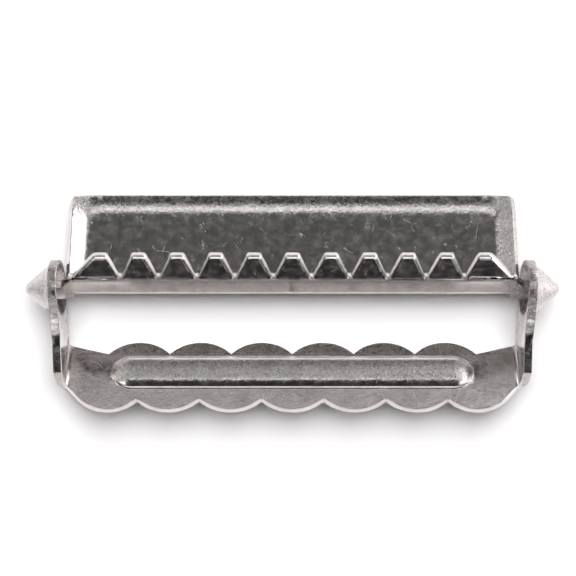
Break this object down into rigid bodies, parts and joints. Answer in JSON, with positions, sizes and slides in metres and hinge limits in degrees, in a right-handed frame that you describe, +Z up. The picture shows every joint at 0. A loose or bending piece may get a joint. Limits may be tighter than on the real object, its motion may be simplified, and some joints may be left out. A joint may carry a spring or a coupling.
{
  "type": "strapping buckle",
  "caption": "Folded sheet-steel strap buckle: a scalloped, beaded crossbar frame with a hinged toothed lever that clamps webbing.",
  "frame": {"origin": "middle of the footprint's box, on the surface that the open buckle lies on", "axes": "+X along the pivot axis, +Y from the crossbar towards the open lever, +Z up"},
  "size_m": [0.0486, 0.02, 0.0073],
  "materials": {
    "frame_nickel": "bright nickel plate on stamped steel",
    "lever_nickel": "bright nickel plate, finely scratched on the finger plate"
  },
  "bodies": {
    "frame": {"frame": "frame_nickel"},
    "toothed_lever": {"toothed_lever": "lever_nickel"}
  },
  "joints": [
    {"name": "lever_hinge", "type": "hinge", "parent": "frame", "child": "toothed_lever", "pos_m": [0, 0.00122, 0.00368], "axis": [1, 0, 0], "range_deg": [-115, 192]}
  ]
}
